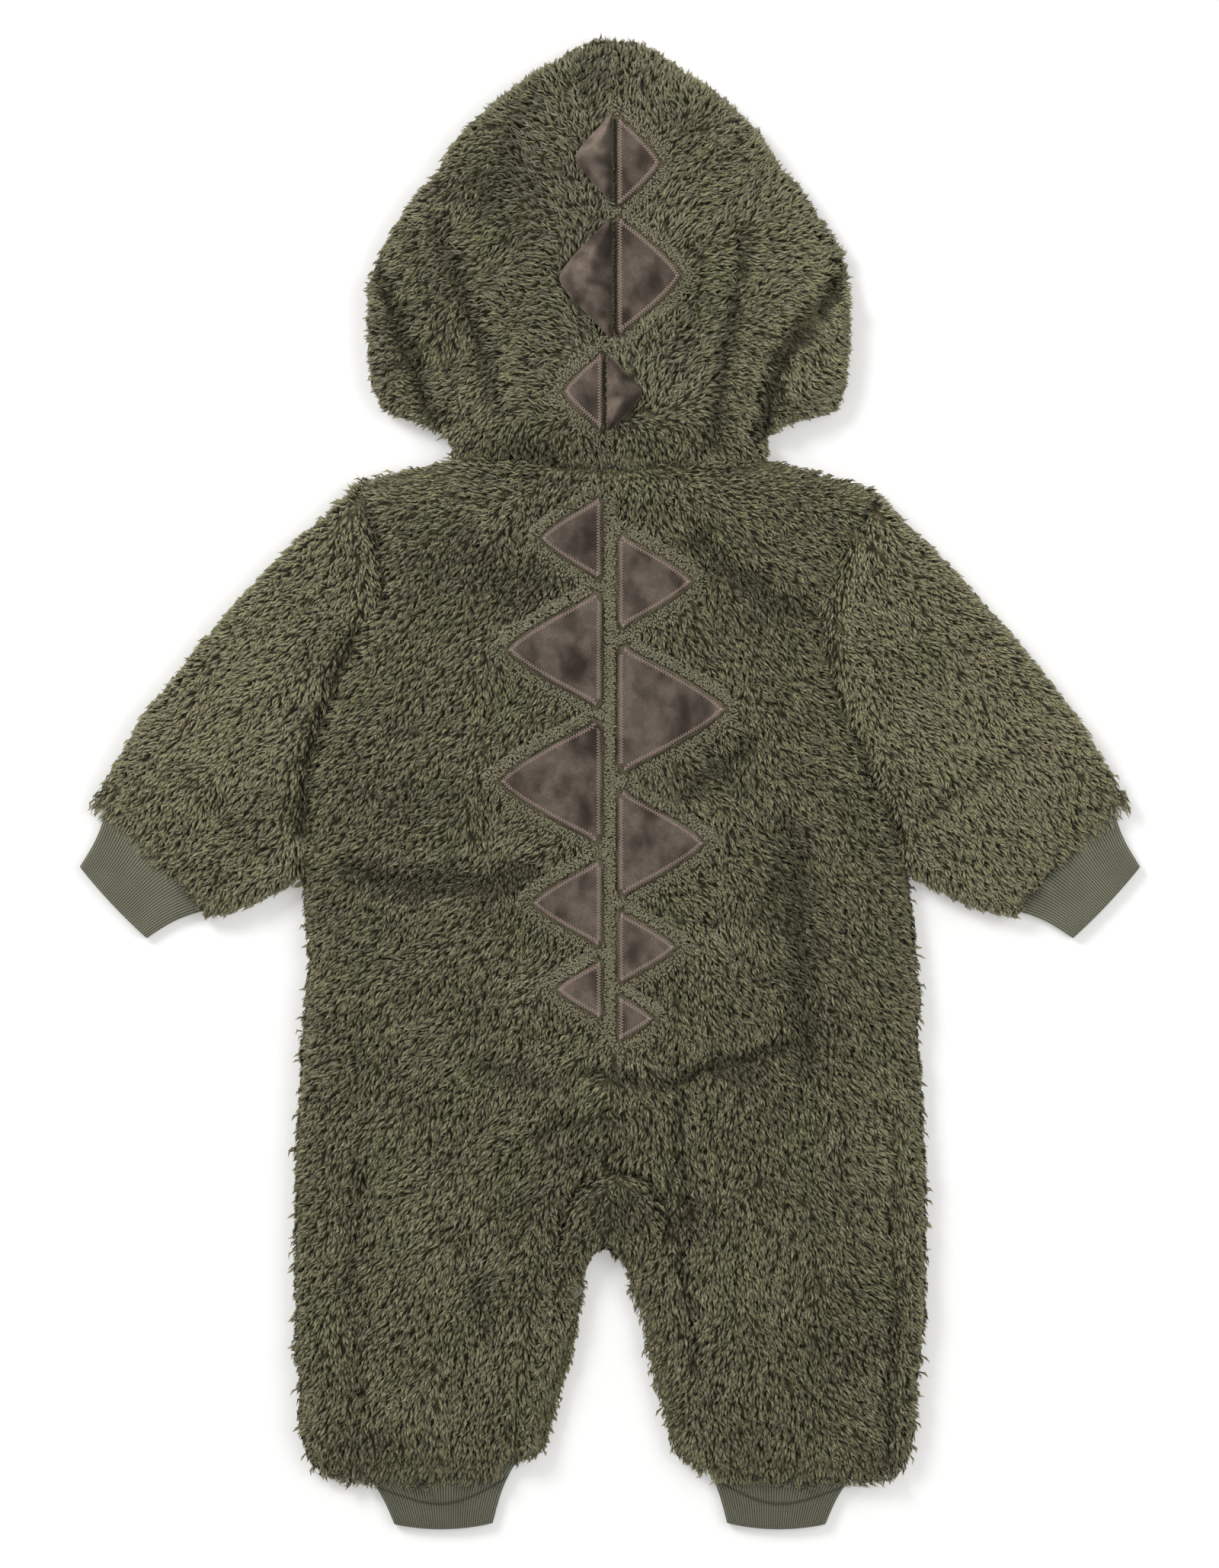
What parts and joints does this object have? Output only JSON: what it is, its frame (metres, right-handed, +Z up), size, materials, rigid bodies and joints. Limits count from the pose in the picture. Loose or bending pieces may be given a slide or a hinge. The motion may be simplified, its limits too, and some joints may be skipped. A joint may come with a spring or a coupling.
{
  "type": "hooded one-piece coverall",
  "caption": "Baby's hooded one-piece coverall in long-pile fleece with rib cuffs and a ridge of velvet plates, laid flat with its back up.",
  "frame": {"origin": "middle of the garment's bounding box, on the surface that it lies on", "axes": "+Y from the ankle cuffs towards the hood's peak, +X towards the wearer's right sleeve, +Z up out of the surface, away from the back"},
  "size_m": [0.5164, 0.723, 0.0283],
  "materials": {
    "pile_fleece": "long brushed pile",
    "velvet": "short crushed pile with a soft sheen",
    "rib_knit": "fine 1x1 rib",
    "stud_plastic": "satin"
  },
  "bodies": {
    "root": {"back_panel": "pile_fleece", "front_left": "pile_fleece", "front_right": "pile_fleece", "front_placket": "pile_fleece", "crotch_gusset": "pile_fleece", "inseam_placket_over": "pile_fleece", "inseam_placket_under": "pile_fleece", "sleeve_left": "pile_fleece", "sleeve_right": "pile_fleece", "hood_left": "pile_fleece", "hood_right": "pile_fleece", "wrist_cuff_left": "rib_knit", "wrist_cuff_right": "rib_knit", "ankle_cuff_left": "rib_knit", "ankle_cuff_right": "rib_knit", "back_plate_01": "velvet", "back_plate_02": "velvet", "back_plate_03": "velvet", "back_plate_04": "velvet", "back_plate_05": "velvet", "back_plate_06": "velvet", "back_plate_07": "velvet", "back_plate_08": "velvet", "back_plate_09": "velvet", "back_plate_10": "velvet", "hood_patch_1": "velvet", "hood_patch_2": "velvet", "hood_patch_3": "velvet", "hood_fin_1": "velvet", "hood_fin_2": "velvet", "hood_fin_3": "velvet", "inseam_stud_1": "stud_plastic", "inseam_stud_2": "stud_plastic", "inseam_stud_3": "stud_plastic", "front_stud_1": "stud_plastic", "front_stud_2": "stud_plastic", "front_stud_3": "stud_plastic", "front_stud_4": "stud_plastic", "front_stud_5": "stud_plastic", "front_stud_6": "stud_plastic", "front_stud_7": "stud_plastic"}
  },
  "joints": []
}
